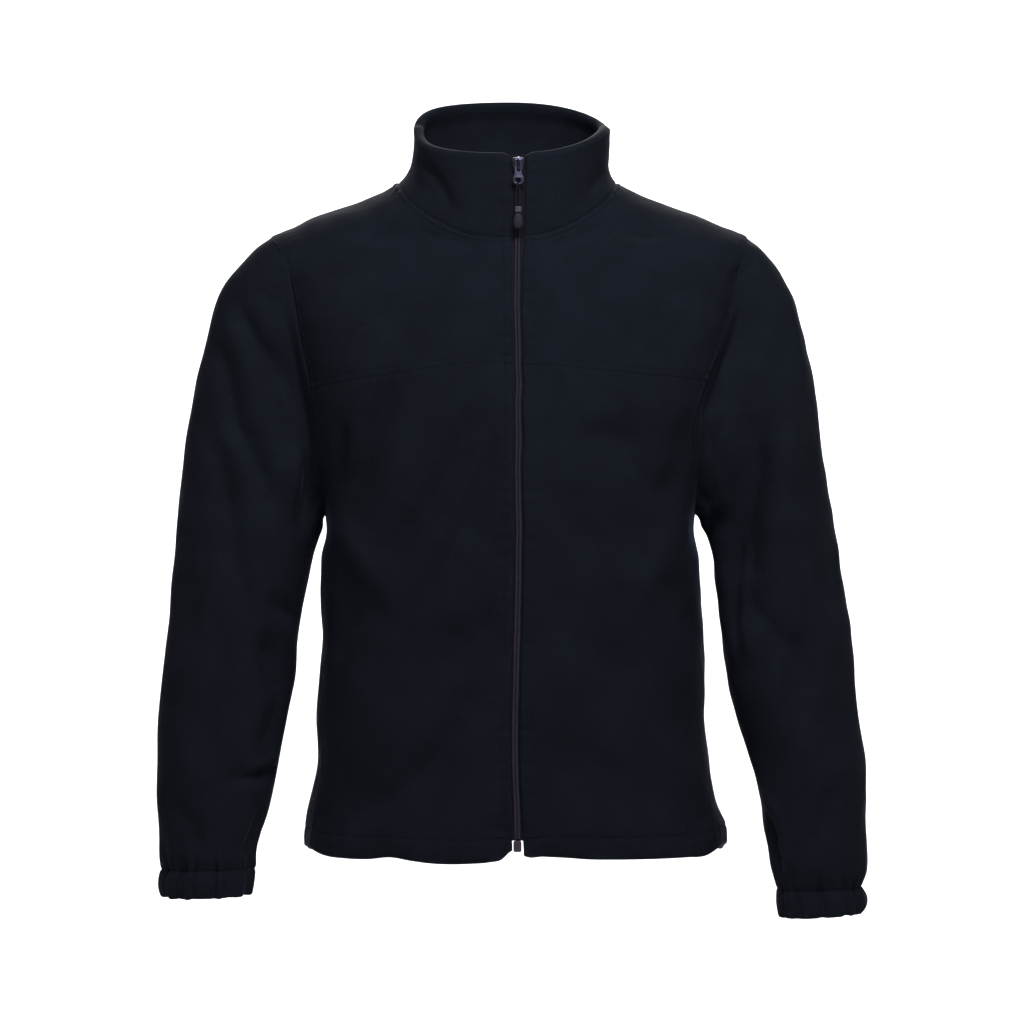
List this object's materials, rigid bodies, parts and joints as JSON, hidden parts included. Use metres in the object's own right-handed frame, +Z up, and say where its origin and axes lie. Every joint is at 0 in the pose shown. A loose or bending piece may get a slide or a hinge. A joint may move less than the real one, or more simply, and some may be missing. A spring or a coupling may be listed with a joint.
{
  "type": "fleece zip jacket, filled out with no wearer",
  "caption": "Long-sleeved fleece jacket with a stand-up collar, a full front zip with a cord pull, chest yokes, side-seam pockets and elasticated cuffs, filled out and hollow.",
  "frame": {"origin": "where the wearer's shoulders hold it: the middle of the neck, level with the points where neck and shoulders meet", "axes": "+Z up, -Y out of the front, +X towards the wearer's left"},
  "size_m": [0.7026, 0.2661, 0.8165],
  "materials": {
    "fleece": "matte, brushed anti-pill polyester fleece with a short nap",
    "pocketing": "matte warp-knit mesh",
    "zip_tape": "woven polyester tape, slight sheen",
    "zip_coil": "semi-gloss nylon coil",
    "zip_metal": "dark lacquered zinc",
    "pull_cord": "braided polyester cord",
    "pull_end": "moulded soft plastic, satin",
    "zip_box": "moulded acetal, semi-gloss"
  },
  "bodies": {
    "jacket": {"back": "fleece", "collar": "fleece", "left_front": "fleece", "right_front": "fleece", "left_front_yoke": "fleece", "right_front_yoke": "fleece", "left_sleeve": "fleece", "right_sleeve": "fleece", "left_pocket_bag": "pocketing", "right_pocket_bag": "pocketing", "zip_tape_left": "zip_tape", "zip_tape_right": "zip_tape", "zip_coil_left": "zip_coil", "zip_coil_right": "zip_coil", "zip_slider": "zip_metal", "zip_box": "zip_box"},
    "zip_pull": {"zip_pull_tab": "zip_metal", "zip_pull_cord": "pull_cord", "zip_pull_ferrule": "zip_metal", "zip_pull_end": "pull_end"}
  },
  "joints": [
    {"name": "pull_hinge", "type": "hinge", "parent": "jacket", "child": "zip_pull", "pos_m": [0.00605, -0.09182, 0.01954], "axis": [-1, 0, 0], "range_deg": [0, 170]}
  ]
}
